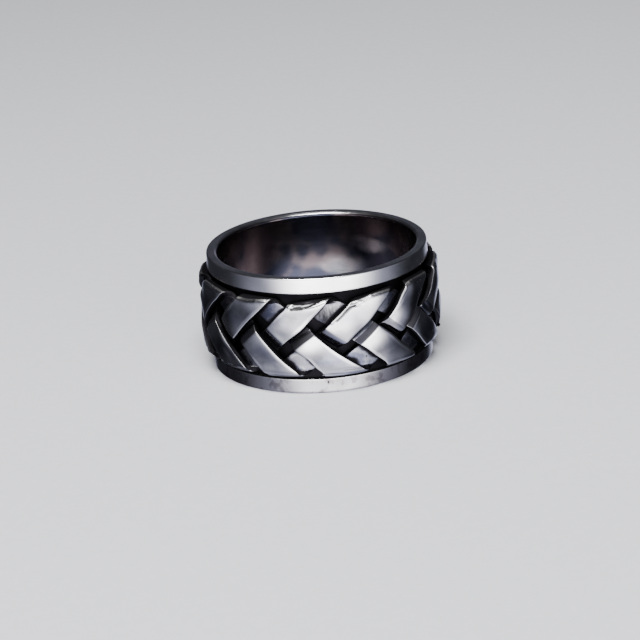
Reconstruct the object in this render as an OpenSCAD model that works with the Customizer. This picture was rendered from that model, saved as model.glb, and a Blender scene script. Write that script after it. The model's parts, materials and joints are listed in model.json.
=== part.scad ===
// Braided band ring: a silver band with two raised rails, and a plait of three flat strips in the
// channel between them. The ring lies on its side, with +Z up along the bore. The origin is on the
// bore's axis, in the plane of the rim that the ring lies on.

/* [Band] */
// Bore diameter, which is the finger size
bore_d = 19; // [16:0.1:23]
// Width of the band, along the finger
band_w = 11.3; // [10.5:0.1:13]
// Wall of the sleeve under the plait
sleeve_wall = 0.6; // [0.4:0.05:1.2]
// Height of the rails above the sleeve
rail_h = 0.5; // [0.3:0.05:0.9]
// Width of each rail
rail_w = 1.45; // [1:0.05:1.8]
// Rounding of the edges at the bore's two mouths
mouth_round = 0.38; // [0.1:0.01:0.5]
// Rounding of the rails' outer edges
rail_round = 0.15; // [0.05:0.01:0.3]

/* [Plait] */
// Width of a strip
strip_w = 2.42; // [2:0.02:2.6]
// Thickness of a strip
strip_t = 0.65; // [0.45:0.05:0.7]
// Clearance between the strips where they cross, and under them
strip_gap = 0.06; // [0.05:0.01:0.1]
// Clearance between the folds and the rails
fold_gap = 0.3; // [0.2:0.05:0.6]
// Rise of a strip's middle above its folds, where it lies on top
strip_swell = 0.08; // [0:0.01:0.2]
// Angle round the ring from the front to the middle of a lower fold
plait_turn = 10; // [0:0.5:30]

/* [Hidden] */

// Circles of the band's section and turning
round_fn = 96;
// How far a cutting shape runs past what it cuts
cut_over = 1;

// Radii of the band, and the channel between the rails
bore_r = bore_d / 2;
sleeve_r = bore_r + sleeve_wall;
rail_r = sleeve_r + rail_h;
channel_w = band_w - 2 * rail_w;

// A plait of three strips, each with four folds along either edge of the plait
strips = 3;
strip_folds = 4;

// A strip's middle surface runs at two heights, and a fold is a half turn from the low to the high one
level_rise = strip_t + strip_gap;
low_r = sleeve_r + strip_gap + strip_t / 2;
high_r = low_r + level_rise;
turn_r = level_rise / 2;
turn_mid_r = low_r + turn_r;
turn_z = channel_w / 2 - fold_gap - strip_t / 2 - turn_r;

// A pass runs from the middle of one fold to the middle of the next, on the plait's other edge.
// Places along it are lengths down the band's width, measured over the folds' half turns too.
passes = 2 * strip_folds;
pass_deg = 360 / passes;
repeat_deg = 360 / (strips * strip_folds);
quarter_turn = PI * turn_r / 2;
pass_len = 2 * turn_z + 2 * quarter_turn;
pass_arc = high_r * pass_deg * PI / 180;
slant = atan2(pass_len, pass_arc);

// Along a pass a strip lies over its neighbour at one third and under the next one at two thirds.
// It dives from the high level to the low one between the two, past the first one's edge by this share.
OVER_AT = 1 / 3;
UNDER_AT = 2 / 3;
dive_lag = 0.02;
cross_half = strip_w / (4 * cos(slant));
dive_from = pass_len * (OVER_AT + dive_lag) + cross_half;
dive_to = pass_len * UNDER_AT - cross_half;

// The slant changes along a pass by this share of its mean, most at this place, so the strips curve a little
strip_lean = 0.14;
lean_at = 0.29;

// Folding spreads a strip by this share of its width
fold_spread = 0.05;

// Hand-made unevenness of the folds, six of them in turn, as shares of the strip's width.
// Reach moves a fold towards its rail, shift moves it round the ring, and tilt turns its line.
REACH = 0;
SHIFT = 1;
TILT = 2;
lower_folds = [
    [0.00, 0.02, 0.00],
    [-0.03, 0.00, 0.04],
    [-0.02, 0.02, 0.03],
    [0.01, -0.02, -0.03],
    [-0.04, 0.02, -0.05],
    [-0.01, -0.02, 0.03]
];
upper_folds = [
    [-0.09, 0.02, -0.19],
    [0.01, 0.01, 0.03],
    [-0.03, -0.02, 0.04],
    [-0.06, 0.02, -0.10],
    [-0.02, -0.02, 0.04],
    [-0.10, 0.01, -0.16]
];
// Share of a pass over which a fold's own unevenness fades out, short of the crossings
uneven_reach = 0.42;

// Outline of a strip's section: share of its width, and share of half its thickness
section = [
    [-0.5, 0], [-0.457, 0.74], [-0.26, 0.95], [0, 1], [0.26, 0.95], [0.457, 0.74],
    [0.5, 0], [0.457, -0.74], [0.26, -0.95], [0, -1], [-0.26, -0.95], [-0.457, -0.74]
];

// Numbers of stations along a pass: round each quarter turn, on top, down the dive and underneath
turn_steps = 4;
top_steps = 6;
dive_steps = 8;
under_steps = 5;
// Short step, as a share, over which the skin's slope is taken
slope_step = 0.01;

function smooth_share(x) = let (c = max(0, min(1, x))) c * c * (3 - 2 * c);
function between(a, b, share) = a + (b - a) * share;

// Places of the stations along a pass, without the last one, which is the next pass's first
stations = concat(
    [for (i = [0:turn_steps - 1]) quarter_turn * i / turn_steps],
    [for (i = [0:top_steps - 1]) between(quarter_turn, dive_from, i / top_steps)],
    [for (i = [0:dive_steps - 1]) between(dive_from, dive_to, i / dive_steps)],
    [for (i = [0:under_steps - 1]) between(dive_to, pass_len - quarter_turn, i / under_steps)],
    [for (i = [0:turn_steps - 1]) pass_len - quarter_turn * (1 - i / turn_steps)]
);

// Share of a pass's turn round the ring that is done at place q along it
function turn_share(q) =
    q / pass_len
    - strip_lean / (2 * PI) * (sin(360 * (q / pass_len - lean_at)) + sin(360 * lean_at));

// Slant of the strip's edges there, from the ring's own plane
function slant_at(q) =
    atan2(pass_len, pass_arc * (1 - strip_lean * cos(360 * (q / pass_len - lean_at))));

// How much of a pass's middle stretch is reached: none at the folds, all along the dive
function clear_of_folds(q) =
    smooth_share((q - quarter_turn) / (dive_from - quarter_turn))
    * smooth_share((pass_len - quarter_turn - q) / (pass_len - quarter_turn - dive_to));

// Slant of the line across the strip: along the fold line at both ends, along the crossing strip at the dive
function across_at(q) = slant * clear_of_folds(q);

// Length of that line
function across_len(q) =
    strip_w * (1 + fold_spread * (1 - clear_of_folds(q))) / sin(slant_at(q) + across_at(q));

// Radius of the strip's middle surface there
function radius_at(q) =
    q < quarter_turn ? turn_mid_r + turn_r * sin(90 * q / quarter_turn)
    : q > pass_len - quarter_turn ? turn_mid_r - turn_r * sin(90 * (pass_len - q) / quarter_turn)
    : high_r
        + strip_swell * sin(180 * smooth_share((q - quarter_turn) / (dive_to - quarter_turn)))
        - level_rise * (1 - cos(180 * max(0, min(1, (q - dive_from) / (dive_to - dive_from))))) / 2;

// Height above the plait's middle, for a pass that starts at the upper edge
function height_at(q) =
    q < quarter_turn ? turn_z + turn_r * cos(90 * q / quarter_turn)
    : q > pass_len - quarter_turn ? -turn_z - turn_r * cos(90 * (pass_len - q) / quarter_turn)
    : turn_z - (q - quarter_turn);

// Unevenness of the fold that starts a pass of a strip, counted round the ring. Odd passes start at the top.
function fold_row(number, pass) =
    let (
        table = pass % 2 == 1 ? upper_folds : lower_folds,
        turned = pass * pass_deg - number * repeat_deg - (pass % 2) * repeat_deg / 2,
        row = (round(turned / repeat_deg) + strips * strip_folds) % len(table)
    )
    table[row] * strip_w;

function uneven_fade(share) = let (c = max(0, 1 - share / uneven_reach)) c * c;

// Point of a strip's middle surface: q along the pass at the strip's centre line, w across as a share of the width
function middle(number, pass, q, w) =
    let (
        side = pass % 2 == 0 ? -1 : 1,
        across = across_at(q),
        offset = w * across_len(q),
        first = fold_row(number, pass),
        last = fold_row(number, pass + 1),
        r = radius_at(q),
        shift = between(first[SHIFT], last[SHIFT], q / pass_len),
        turned = (pass + turn_share(q)) * pass_deg + (offset * cos(across) - shift) / r * 180 / PI,
        angle = plait_turn + number * repeat_deg - turned,
        z = height_at(q) + offset * sin(across)
            + (first[REACH] + w * first[TILT]) * uneven_fade(q / pass_len)
            - (last[REACH] + w * last[TILT]) * uneven_fade(1 - q / pass_len)
    )
    [r * sin(angle), -r * cos(angle), band_w / 2 + side * z];

// Point of a strip's skin, off its middle surface by a share of half the thickness
function skin(number, pass, q, w, rise) =
    let (
        step = slope_step,
        along = middle(number, pass, q + step, w) - middle(number, pass, q - step, w),
        over = middle(number, pass, q, w + step) - middle(number, pass, q, w - step),
        normal = cross(along, over)
    )
    middle(number, pass, q, w) + normal / norm(normal) * rise * strip_t / 2;

// One endless strip of the plait: its section swept through every station of every pass
module strip(number) {
    corners = len(section);
    rings = passes * len(stations);
    points = [
        for (pass = [0:passes - 1], q = stations, corner = section)
            skin(number, pass, q, corner[0], corner[1])
    ];
    faces = [
        for (i = [0:rings - 1], k = [0:corners - 1])
            let (here = i * corners, next = (i + 1) % rings * corners, beside = (k + 1) % corners)
            each [
                [here + k, next + beside, next + k],
                [here + k, here + beside, next + beside]
            ]
    ];
    color("silver")
        polyhedron(points = points, faces = faces, convexity = 10);
}

// What rounding takes off a corner of a section: a square less the circle that stays
module corner_cut(r, z, size, r_way, z_way) {
    difference() {
        translate([r + r_way * (size - cut_over) / 2, z + z_way * (size - cut_over) / 2])
            square(size + cut_over, center = true);
        translate([r + r_way * size, z + z_way * size])
            circle(r = size, $fn = round_fn);
    }
}

// Half of the band's section, with the rounded edges of both rims
module band_section() {
    difference() {
        translate([bore_r, 0])
            square([rail_r - bore_r, band_w]);
        translate([sleeve_r, rail_w])
            square([rail_h + cut_over, channel_w]);
        for (rim = [[0, 1], [band_w, -1]]) {
            corner_cut(bore_r, rim[0], mouth_round, 1, rim[1]);
            corner_cut(rail_r, rim[0], rail_round, -1, rim[1]);
        }
    }
}

// The band: a sleeve with a rail at each rim, turned in one piece
module band() {
    color("silver")
        rotate_extrude($fn = round_fn)
            band_section();
}

band();
strip(0);  // strip_a
strip(1);  // strip_b
strip(2);  // strip_c
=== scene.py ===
import json
import math
import random

import bmesh
import bpy
from bpy.props import FloatProperty, FloatVectorProperty, IntProperty, PointerProperty
from mathutils import Matrix, Vector
from mathutils.bvhtree import BVHTree


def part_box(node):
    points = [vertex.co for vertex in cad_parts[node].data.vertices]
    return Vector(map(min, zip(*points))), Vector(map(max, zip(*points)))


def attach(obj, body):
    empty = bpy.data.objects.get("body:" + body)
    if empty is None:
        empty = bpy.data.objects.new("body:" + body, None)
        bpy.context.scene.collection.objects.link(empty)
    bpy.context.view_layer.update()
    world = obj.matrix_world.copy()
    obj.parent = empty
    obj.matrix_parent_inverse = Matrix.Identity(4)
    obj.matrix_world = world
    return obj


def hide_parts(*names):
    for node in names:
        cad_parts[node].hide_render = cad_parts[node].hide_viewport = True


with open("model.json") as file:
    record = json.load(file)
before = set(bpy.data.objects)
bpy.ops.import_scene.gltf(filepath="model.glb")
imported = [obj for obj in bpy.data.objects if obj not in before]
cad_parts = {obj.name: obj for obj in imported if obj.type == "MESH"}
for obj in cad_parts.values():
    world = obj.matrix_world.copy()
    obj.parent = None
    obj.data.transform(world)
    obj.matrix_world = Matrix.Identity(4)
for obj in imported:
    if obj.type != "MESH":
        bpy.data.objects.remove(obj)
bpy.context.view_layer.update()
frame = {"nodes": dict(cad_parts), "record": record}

bl_info = {
    "name": "Braided band ring",
    "version": (1, 0, 0),
    "blender": (4, 5, 0),
    "location": "View3D > Sidebar > Ring",
    "description": "Builds a silver band ring with a plait of folded strips between two rails",
    "category": "Object",
}

# The band's sizes that the frame gives, in metres
BAND_LOW, BAND_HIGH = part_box("band")
FINGER_HOLE = next(m for m in frame["record"]["mounts"] if m["name"] == "finger_hole")
BORE_R = FINGER_HOLE["dims"]["r_mm"] / 1000
RAIL_R = BAND_HIGH.x
BAND_W = BAND_HIGH.z
CREST_R = max(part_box(name)[1].x for name in ("strip_a", "strip_b", "strip_c"))
STRIPS = ("strip_a", "strip_b", "strip_c")

# How close two places are to be taken as one
TOUCH = 1e-6


class BandSizes(bpy.types.PropertyGroup):
    """Sizes of the turned band."""

    wall: FloatProperty(
        name="Sleeve wall", description="Wall of the sleeve under the plait",
        default=0.0006, unit="LENGTH")
    rail_w: FloatProperty(
        name="Rail width", description="Width of each raised rail",
        default=0.00145, unit="LENGTH")
    mouth_round: FloatProperty(
        name="Mouth rounding", description="Rounding of the bore's two mouths",
        default=0.00038, unit="LENGTH")
    rail_round: FloatProperty(
        name="Rim rounding", description="Rounding of the rails' outer edges",
        default=0.00015, unit="LENGTH")
    worn_round: FloatProperty(
        name="Worn rounding", description="Rounding of the rails' edges at the channel",
        default=0.00006, unit="LENGTH")
    turns: IntProperty(
        name="Spin steps", description="Steps of the spin round the bore", default=288)
    doming: FloatProperty(
        name="Doming", description="How much lower a rail's face lies at the rim than at the channel",
        default=0.00005, unit="LENGTH")
    unevenness: FloatProperty(
        name="Unevenness", description="Height of the dents that filing and wear left in the rails",
        default=0.000012, unit="LENGTH")


class PlaitSizes(bpy.types.PropertyGroup):
    """Sizes of the plait's strips."""

    squaring: FloatProperty(
        name="Squared folds", description="How far a fold's shoulder stands out of a round turn",
        default=0.00011, unit="LENGTH")
    sharpening: FloatProperty(
        name="Sharp bends", description="How much deeper a strip lies just past the bend of its dive",
        default=0.00006, unit="LENGTH")
    forming: FloatProperty(
        name="Forming", description="Height of the slow waves that bending by hand left in a strip",
        default=0.0003, unit="LENGTH")
    hammering: FloatProperty(
        name="Hammering", description="Height of the small dents in a strip's faces",
        default=0.00002, unit="LENGTH")
    crumpling: FloatProperty(
        name="Crumpling", description="Height of the crumples at the folds",
        default=0.00003, unit="LENGTH")


class SilverFinish(bpy.types.PropertyGroup):
    """Colours and gloss of the metal."""

    silver: FloatVectorProperty(
        name="Silver", description="Colour of polished silver", subtype="COLOR",
        default=(0.90, 0.89, 0.87))
    black: FloatVectorProperty(
        name="Blackening", description="Colour of the blackened silver in the gaps",
        subtype="COLOR", default=(0.012, 0.011, 0.013))
    tarnish: FloatVectorProperty(
        name="Tarnish", description="Colour of the hazy silver of the plait", subtype="COLOR",
        default=(0.132, 0.13, 0.146))
    tarnish_cool: FloatVectorProperty(
        name="Cool tarnish", description="Colour of the bluish patches of the plait", subtype="COLOR",
        default=(0.098, 0.104, 0.155))
    # The bore's dark colour is partly tarnish and partly painted shade
    bore: FloatVectorProperty(
        name="Bore", description="Colour of the dark tarnish inside the bore", subtype="COLOR",
        default=(0.038, 0.040, 0.056))
    bore_warm: FloatVectorProperty(
        name="Warm bore", description="Colour of the brownish patches inside the bore", subtype="COLOR",
        default=(0.125, 0.102, 0.106))
    gloss: FloatProperty(
        name="Polish", description="Roughness of the polished band", default=0.2)
    satin: FloatProperty(
        name="Satin", description="Roughness of the plait's faces", default=0.21)


class StageSizes(bpy.types.PropertyGroup):
    """Camera, floor and lights."""

    height_angle: FloatProperty(
        name="Camera height", description="Angle of the camera's view above the floor",
        default=math.radians(19.5), subtype="ANGLE")
    roll: FloatProperty(
        name="Camera roll", description="Tilt of the picture, as in the photograph turned upside down",
        default=math.radians(-4), subtype="ANGLE")
    distance: FloatProperty(
        name="Camera distance", description="From the ring's middle to the camera",
        default=0.24, unit="LENGTH")
    lens: FloatProperty(name="Lens", description="Focal length in millimetres", default=140.2)
    floor_colour: FloatVectorProperty(
        name="Floor", description="Colour of the pale floor", subtype="COLOR",
        default=(0.70, 0.71, 0.73))
    glow: FloatProperty(name="Glow", description="Strength of the front glow", default=7.6)
    halo: FloatProperty(name="Halo", description="Strength of the halo round the front glow", default=0.85)
    floor_glow: FloatProperty(
        name="Floor glow", description="Strength of the light that the pale floor throws back up",
        default=0.9, min=0.0)
    back_glow: FloatProperty(name="Back glow", description="Strength of the back glow", default=1.4)
    glow_aside: FloatProperty(
        name="Glow aside", description="How far right of the camera the glow has its middle", default=0.11)
    dimness: FloatProperty(name="Dimness", description="Light of the rest of the studio", default=0.03)


class Value:
    """A number on its way through a material. Sums and products of it add Math nodes."""

    def __init__(self, build, socket):
        self.build = build
        self.socket = socket

    def math(self, operation, *others):
        node = self.build.node("ShaderNodeMath", {"operation": operation}, dict(enumerate([self, *others])))
        return Value(self.build, node.outputs[0])

    def __add__(self, other):
        return self.math("ADD", other)

    def __radd__(self, other):
        return self.math("ADD", other)

    def __sub__(self, other):
        return self.math("SUBTRACT", other)

    def __rsub__(self, other):
        return (self * -1).math("ADD", other)

    def __mul__(self, other):
        return self.math("MULTIPLY", other)

    def __rmul__(self, other):
        return self.math("MULTIPLY", other)

    def __truediv__(self, other):
        return self.math("DIVIDE", other)

    def __pow__(self, other):
        return self.math("POWER", other)

    def least(self, other):
        return self.math("MINIMUM", other)

    def most(self, other):
        return self.math("MAXIMUM", other)

    def step(self, low, high, from_value=0.0, to_value=1.0):
        """Goes smoothly from one value to the other while the number goes from low to high."""
        node = self.build.node(
            "ShaderNodeMapRange", {"interpolation_type": "SMOOTHSTEP"},
            {"Value": self, "From Min": low, "From Max": high, "To Min": from_value, "To Max": to_value})
        return Value(self.build, node.outputs["Result"])


class NodeBuild:
    """A node tree, of a material or of the studio's light, while it is put together."""

    def __init__(self, tree):
        self.tree = tree
        self.tree.nodes.clear()

    def node(self, kind, settings=None, inputs=None):
        """Adds a node, sets what it is, then gives its sockets values or links."""
        node = self.tree.nodes.new(kind)
        for name, setting in (settings or {}).items():
            setattr(node, name, setting)
        for name, given in (inputs or {}).items():
            socket = given.socket if isinstance(given, Value) else given
            if isinstance(socket, bpy.types.NodeSocket):
                self.tree.links.new(socket, node.inputs[name])
            else:
                node.inputs[name].default_value = socket
        return node

    def value(self, node, output=0):
        return Value(self, node.outputs[output])

    def place(self):
        """The point's place on the piece, which is the frame's own."""
        return self.node("ShaderNodeTexCoord").outputs["Object"]

    def parts(self, vector):
        node = self.node("ShaderNodeSeparateXYZ", inputs={"Vector": vector})
        return [self.value(node, name) for name in "XYZ"]

    def vector(self, x, y, z):
        return self.node("ShaderNodeCombineXYZ", inputs={"X": x, "Y": y, "Z": z}).outputs[0]

    def noise(self, vector, scale, detail, roughness):
        node = self.node(
            "ShaderNodeTexNoise", {"noise_dimensions": "3D"},
            {"Vector": vector, "Scale": scale, "Detail": detail, "Roughness": roughness})
        return self.value(node, "Fac")

    def mix(self, share, first, second):
        """A colour between two colours."""
        node = self.node("ShaderNodeMix", {"data_type": "RGBA"})
        sockets = {"Factor": node.inputs[0], "A": node.inputs[6], "B": node.inputs[7]}
        for name, given in (("Factor", share), ("A", first), ("B", second)):
            link = given.socket if isinstance(given, Value) else given
            if isinstance(link, bpy.types.NodeSocket):
                self.tree.links.new(link, sockets[name])
            elif name == "Factor":
                sockets[name].default_value = link
            else:
                sockets[name].default_value = (*link, 1.0)
        return node.outputs[2]

    def bump(self, height, distance, strength, normal=None):
        inputs = {"Height": height, "Distance": distance, "Strength": strength}
        if normal is not None:
            inputs["Normal"] = normal
        return self.node("ShaderNodeBump", inputs=inputs).outputs[0]


class Finish(NodeBuild):
    """One material while its nodes are put together."""

    def __init__(self, name):
        self.material = bpy.data.materials.new(name)
        self.material.use_nodes = True
        super().__init__(self.material.node_tree)

    def attribute(self, name):
        """A number that the piece's own points carry."""
        return self.value(self.node("ShaderNodeAttribute", {"attribute_name": name}), "Fac")

    def surface(self, inputs):
        shader = self.node("ShaderNodeBsdfPrincipled", inputs=inputs)
        self.node("ShaderNodeOutputMaterial", inputs={"Surface": shader.outputs[0]})
        return self.material


def round_the_bore(build):
    """Place, distance from the bore's axis, turn round it, height, and how far the face looks out and up."""
    place = build.place()
    x, y, z = build.parts(place)
    radius = (x * x + y * y).math("SQRT")
    turn = y.math("ARCTAN2", x)
    normal = build.node("ShaderNodeNewGeometry").outputs["Normal"]
    nx, ny, nz = build.parts(normal)
    outward = (nx * x + ny * y) / radius
    return place, radius, turn, z, outward, nz


# How closely lines follow one another, per metre: polishing lines along and across their own way, and stray
# ones, which slant. Noises have their scale per metre, detail and roughness, and for lines a scale of 1.
LINES_ALONG, LINES_ACROSS = 900, 9000
STRAY_ALONG, STRAY_SLANT = 3500, 2500
STRAY_ACROSS, STRAY_LEAN = 700, 600
POLISHING = (1.0, 4.0, 0.6)
STRAY_LINES = (1.0, 3.0, 0.6)
BLOTCHES = (900.0, 3.0, 0.6)
CLOUD = (260.0, 2.0, 0.5)
# Fades are named by the two ends of the range that drives them, and the fade's values there
CLOUDED = (0.35, 0.7)
LINED = (0.55, 0.75, 0.0, 0.25)
# Brightness of the silver under a cloud and along a line, as shares
CLOUD_SHADE = 0.74
LINE_SHADE = 0.7
# Roughness that blotches and lines add, and that of the blackening, with the least and the most of all
BLOTCH_ROUGHNESS = 0.12
LINE_ROUGHNESS = 0.16
BLACK_ROUGHNESS = 0.62
LEAST_ROUGHNESS, MOST_ROUGHNESS = 0.08, 0.7
# Depths of the bump of lines and of clouds in metres, and their strengths
LINE_BUMP = (0.000004, 0.25)
CLOUD_BUMP = (0.00003, 0.3)


def scratches(build, radius, turn, z):
    """Fine lines left by polishing round the ring, and stray ones that slant across them."""
    arc = turn * radius
    straight = build.vector(arc * LINES_ALONG, z * LINES_ACROSS, radius * LINES_ACROSS)
    slanted = build.vector(
        arc * STRAY_ALONG + z * STRAY_SLANT, z * STRAY_ACROSS - arc * STRAY_LEAN, radius * LINES_ALONG)
    return build.noise(straight, *POLISHING), build.noise(slanted, *STRAY_LINES)


def silver_material(name, look, gloss, blackened, tarnished, dull):
    """Polished silver that is blackened where blackened, a function of the ring's coordinates, says so, and
    tarnished where tarnished says so; these carry painted shade and painted highlights as well.
    """
    build = Finish(name)
    place, radius, turn, z, outward, up = round_the_bore(build)
    lines, stray = scratches(build, radius, turn, z)
    blotches = build.noise(place, *BLOTCHES)
    cloud = build.noise(place, *CLOUD)
    black = blackened(build, place, radius, turn, z, outward, up, blotches)
    tone = build.mix(cloud.step(*CLOUDED), tuple(look.silver), tuple(c * CLOUD_SHADE for c in look.silver))
    tone = build.mix(lines.step(*LINED), tone, tuple(c * LINE_SHADE for c in look.silver))
    tone = build.mix(tarnished(build, place, radius, turn, z, up), tone, dull(build, cloud, turn))
    colour = build.mix(black, tone, tuple(look.black))
    rough = (blotches - 0.5) * BLOTCH_ROUGHNESS + (lines - 0.5) * LINE_ROUGHNESS + gloss
    rough = rough * (1 - black) + black * BLACK_ROUGHNESS
    fine = build.bump(lines * 0.5 + stray * 0.5, *LINE_BUMP)
    return build.surface({
        "Base Color": colour, "Metallic": 1.0, "Normal": build.bump(cloud, *CLOUD_BUMP, fine),
        "Roughness": rough.most(LEAST_ROUGHNESS).least(MOST_ROUGHNESS)})


def deselect():
    if bpy.context.object and bpy.context.object.mode != "OBJECT":
        bpy.ops.object.mode_set(mode="OBJECT")
    bpy.ops.object.select_all(action="DESELECT")


def pick(obj):
    """Makes a piece the only selected and active one."""
    deselect()
    obj.select_set(True)
    bpy.context.view_layer.objects.active = obj


def select_in_edit(obj, kind, wanted):
    """In edit mode, selects the vertices, edges or faces for which wanted says yes."""
    bpy.ops.mesh.select_mode(type={"verts": "VERT", "edges": "EDGE", "faces": "FACE"}[kind])
    bpy.ops.mesh.select_all(action="DESELECT")
    mesh = bmesh.from_edit_mesh(obj.data)
    for element in getattr(mesh, kind):
        if wanted(element):
            element.select_set(True)
    mesh.select_flush_mode()
    bmesh.update_edit_mesh(obj.data)


def finish_piece(obj, name, nodes):
    """Names a finished piece, hangs it on the root body and hides the frame's parts that it stands in for."""
    obj.name = name
    obj.data.name = name
    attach(obj, "root")
    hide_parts(*nodes)
    return obj


def near(a, b):
    return abs(a - b) < TOUCH


# Cuts across each straight run of the band's outline, and the least length of such a run
FACE_CUTS = 9
LONG_EDGE = BAND_W / 20
# Size in metres and depth of the noise that filing left in the rails, and the angle up to which the band is
# shaded smooth
FILING = (0.003, 2)
BAND_SMOOTH = 60


def band_outline(sizes):
    """Half of the band's section as a ring of edges in the XZ plane, with its edges rounded."""
    sleeve_r = BORE_R + sizes.wall
    low, high = sizes.rail_w, BAND_W - sizes.rail_w
    deselect()
    bpy.ops.mesh.primitive_plane_add(
        size=sizes.wall, location=(BORE_R + sizes.wall / 2, 0, BAND_W / 2),
        rotation=(math.pi / 2, 0, 0))
    obj = bpy.context.object
    bpy.ops.object.transform_apply(location=True, rotation=True, scale=True)
    bpy.ops.object.mode_set(mode="EDIT")
    for end in (-1, 1):
        select_in_edit(obj, "verts", lambda v: (v.co.z - BAND_W / 2) * end > 0)
        bpy.ops.transform.translate(value=(0, 0, end * (BAND_W - sizes.wall) / 2))
    for z in (low, high):
        bpy.ops.mesh.select_all(action="SELECT")
        bpy.ops.mesh.bisect(plane_co=(0, 0, z), plane_no=(0, 0, 1))
    select_in_edit(obj, "edges", lambda e: all(near(v.co.x, sleeve_r) for v in e.verts)
                   and not low < (e.verts[0].co.z + e.verts[1].co.z) / 2 < high)
    bpy.ops.mesh.extrude_region_move(TRANSFORM_OT_translate={"value": (RAIL_R - sleeve_r, 0, 0)})
    bpy.ops.mesh.select_all(action="SELECT")
    bpy.ops.mesh.dissolve_faces()
    # Radius, heights, rounding and number of segments of the outline's corners
    corners = (
        (BORE_R, (0, BAND_W), sizes.mouth_round, 10),
        (RAIL_R, (0, BAND_W), sizes.rail_round, 6),
        (RAIL_R, (low, high), sizes.worn_round, 4),
        (sleeve_r, (low, high), sizes.worn_round, 3),
    )
    for r, heights, size, segments in corners:
        select_in_edit(obj, "verts", lambda v: near(v.co.x, r) and any(near(v.co.z, h) for h in heights))
        bpy.ops.mesh.bevel(offset=size, segments=segments, affect="VERTICES")
    bpy.ops.mesh.select_all(action="SELECT")
    bpy.ops.mesh.delete(type="ONLY_FACE")
    select_in_edit(obj, "edges", lambda e: e.calc_length() > LONG_EDGE)
    bpy.ops.mesh.subdivide(number_cuts=FACE_CUTS)
    return obj


def clouds(name, size, depth):
    """A soft noise texture for the Displace modifier."""
    texture = bpy.data.textures.new(name, "CLOUDS")
    texture.noise_scale = size
    texture.noise_depth = depth
    return texture


def displace(obj, texture, strength, group=""):
    """Moves a piece's skin in and out along its normals, by a noise in the frame's coordinates."""
    push = obj.modifiers.new("unevenness", "DISPLACE")
    push.texture = texture
    push.texture_coords = "LOCAL"
    push.strength = strength
    push.mid_level = 0.5
    push.vertex_group = group
    pick(obj)
    bpy.ops.object.modifier_apply(modifier=push.name)


def smooth(obj, angle):
    pick(obj)
    bpy.ops.object.shade_smooth_by_angle(angle=math.radians(angle))


def dome_rails(obj, sizes):
    """Lets the rails' faces fall a little towards both rims."""
    for vertex in obj.data.vertices:
        radius = radius_of(vertex.co)
        if radius < BORE_R + sizes.wall / 2:
            continue
        from_rim = min(vertex.co.z, BAND_W - vertex.co.z)
        fall = sizes.doming * max(0.0, 1 - from_rim / sizes.rail_w)
        scale = 1 - fall / radius
        vertex.co.x *= scale
        vertex.co.y *= scale


class RING_OT_band(bpy.types.Operator):
    """Turn the band: a sleeve with a rail at each rim and a blackened channel between them."""

    bl_idname = "ring.band"
    bl_label = "Band"
    bl_options = {"REGISTER", "UNDO"}

    def execute(self, context):
        sizes = context.scene.ring_band
        look = context.scene.ring_silver
        obj = band_outline(sizes)
        bpy.ops.mesh.select_all(action="SELECT")
        bpy.ops.mesh.spin(steps=sizes.turns, angle=math.tau, center=(0, 0, 0), axis=(0, 0, 1))
        bpy.ops.mesh.select_all(action="SELECT")
        bpy.ops.mesh.remove_doubles(threshold=TOUCH)
        bpy.ops.mesh.normals_make_consistent(inside=False)
        bpy.ops.object.mode_set(mode="OBJECT")
        dome_rails(obj, sizes)
        displace(obj, clouds("filing", *FILING), sizes.unevenness)
        smooth(obj, BAND_SMOOTH)
        obj.data.materials.append(band_material(look, sizes))
        finish_piece(obj, "turned_band", ["band"])
        return {"FINISHED"}


# Lighter patches inside the bore, where its tarnish and painted shade are thinner: turn in degrees from the
# ring's right, height, half width and half height in metres, and how much lighter
BORE_PATCHES = (
    (54, 0.0081, 0.0016, 0.0008, 0.30),
    (62, 0.0086, 0.0009, 0.0005, 0.25),
    (71, 0.0058, 0.0028, 0.0010, 0.15),
    (82, 0.0056, 0.0018, 0.0007, 0.10),
    (-100, 0.0065, 0.0022, 0.0010, 0.25),
    (-150, 0.0045, 0.0018, 0.0009, 0.2),
)
# How a patch fades out, in shares of its half size, and how ragged a cloud makes its edge
PATCH_EDGE = (0.4, 1.4)
PATCH_RAGGEDNESS = 2.2
# Turn, from the ring's right, and height of a small pit in the lower rail's face, its width as a share of its
# height, and how it fades out
PIT = (math.radians(1.3 - 90), 0.00111)
PIT_SLIMNESS = 0.5
PIT_EDGE = (0.00005, 0.00011, 0.8, 0.0)
# Where the channel's blackening ends: how far it wavers, and its fades in height and in depth, in metres
WAVERING = 0.00008
CHANNEL_EDGE = (-0.00002, 0.00006)
CHANNEL_TOP = (RAIL_R - 0.00014, RAIL_R - 0.00004, 1.0, 0.0)
# Radii between which the bore's tarnish and painted shade end, and those between which the outside begins
BORE_SKIN = (BORE_R + 0.00004, BORE_R + 0.00016, 1.0, 0.0)
OUTSIDE = (BORE_R + 0.0002, BORE_R + 0.0003)
# Noises of the bore's tarnish and painted shade and of the spots in the lower rail's painted shade, with the
# fades of both
BORE_CLOUD = (330.0, 2.0, 0.5)
RAIL_SPOTS = (1100.0, 2.0, 0.6)
BORE_LIGHTER = (0.5, 0.75, 0.08, 0.0)
SPOTTED = (0.5, 0.66, 0.0, 0.5)
WARM_BORE = (0.5, 0.66)
# Share of painted shade on the lower rail, which makes it darker than the upper one, with its least and how
# much its cloud adds
LOW_RAIL_SHADE = 0.52
RAIL_LEAST, RAIL_CLOUD = 0.6, 0.8
# How much lighter the bore's tarnish and painted shade grow for each metre of height, and warmer for each
# radian aside from behind
LIGHTER_UPWARDS = 60
WARM_ASIDE = 0.22


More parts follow.
